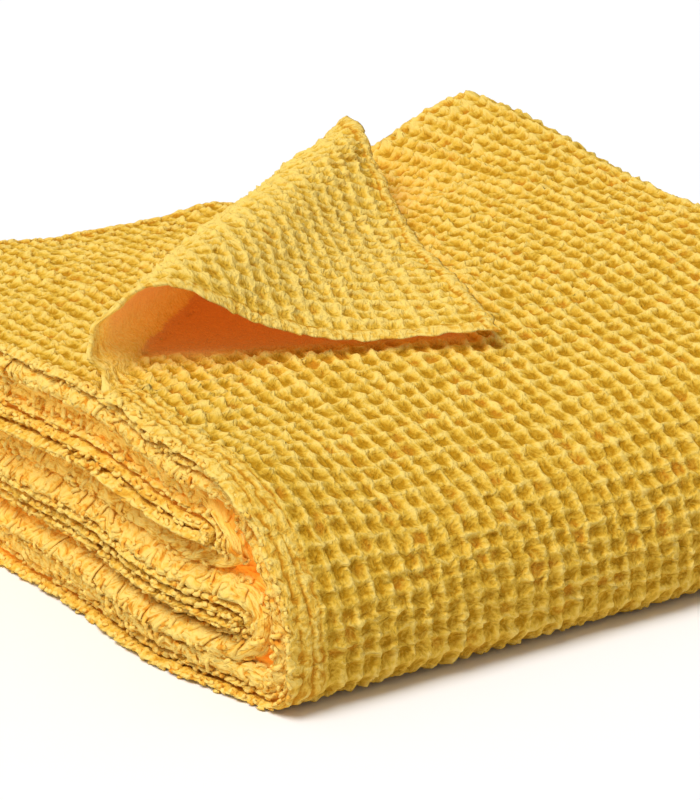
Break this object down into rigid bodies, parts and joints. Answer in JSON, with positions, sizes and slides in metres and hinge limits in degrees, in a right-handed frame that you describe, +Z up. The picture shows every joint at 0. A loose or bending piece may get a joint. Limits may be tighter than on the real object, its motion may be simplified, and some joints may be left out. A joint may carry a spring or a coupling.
{
  "type": "bedspread",
  "caption": "Folded waffle-weave cotton bedspread with a round front bend and one corner of the top layer rolled over.",
  "frame": {"origin": "middle of the footprint, on the floor", "axes": "+X along the front bend from the layer ends on the left to the folds on the right, +Y from the front bend to the back hems, +Z up"},
  "size_m": [0.4698, 0.4528, 0.181],
  "materials": {
    "bedspread": "matte woven cotton"
  },
  "bodies": {
    "root": {"bedspread": "bedspread"}
  },
  "joints": []
}
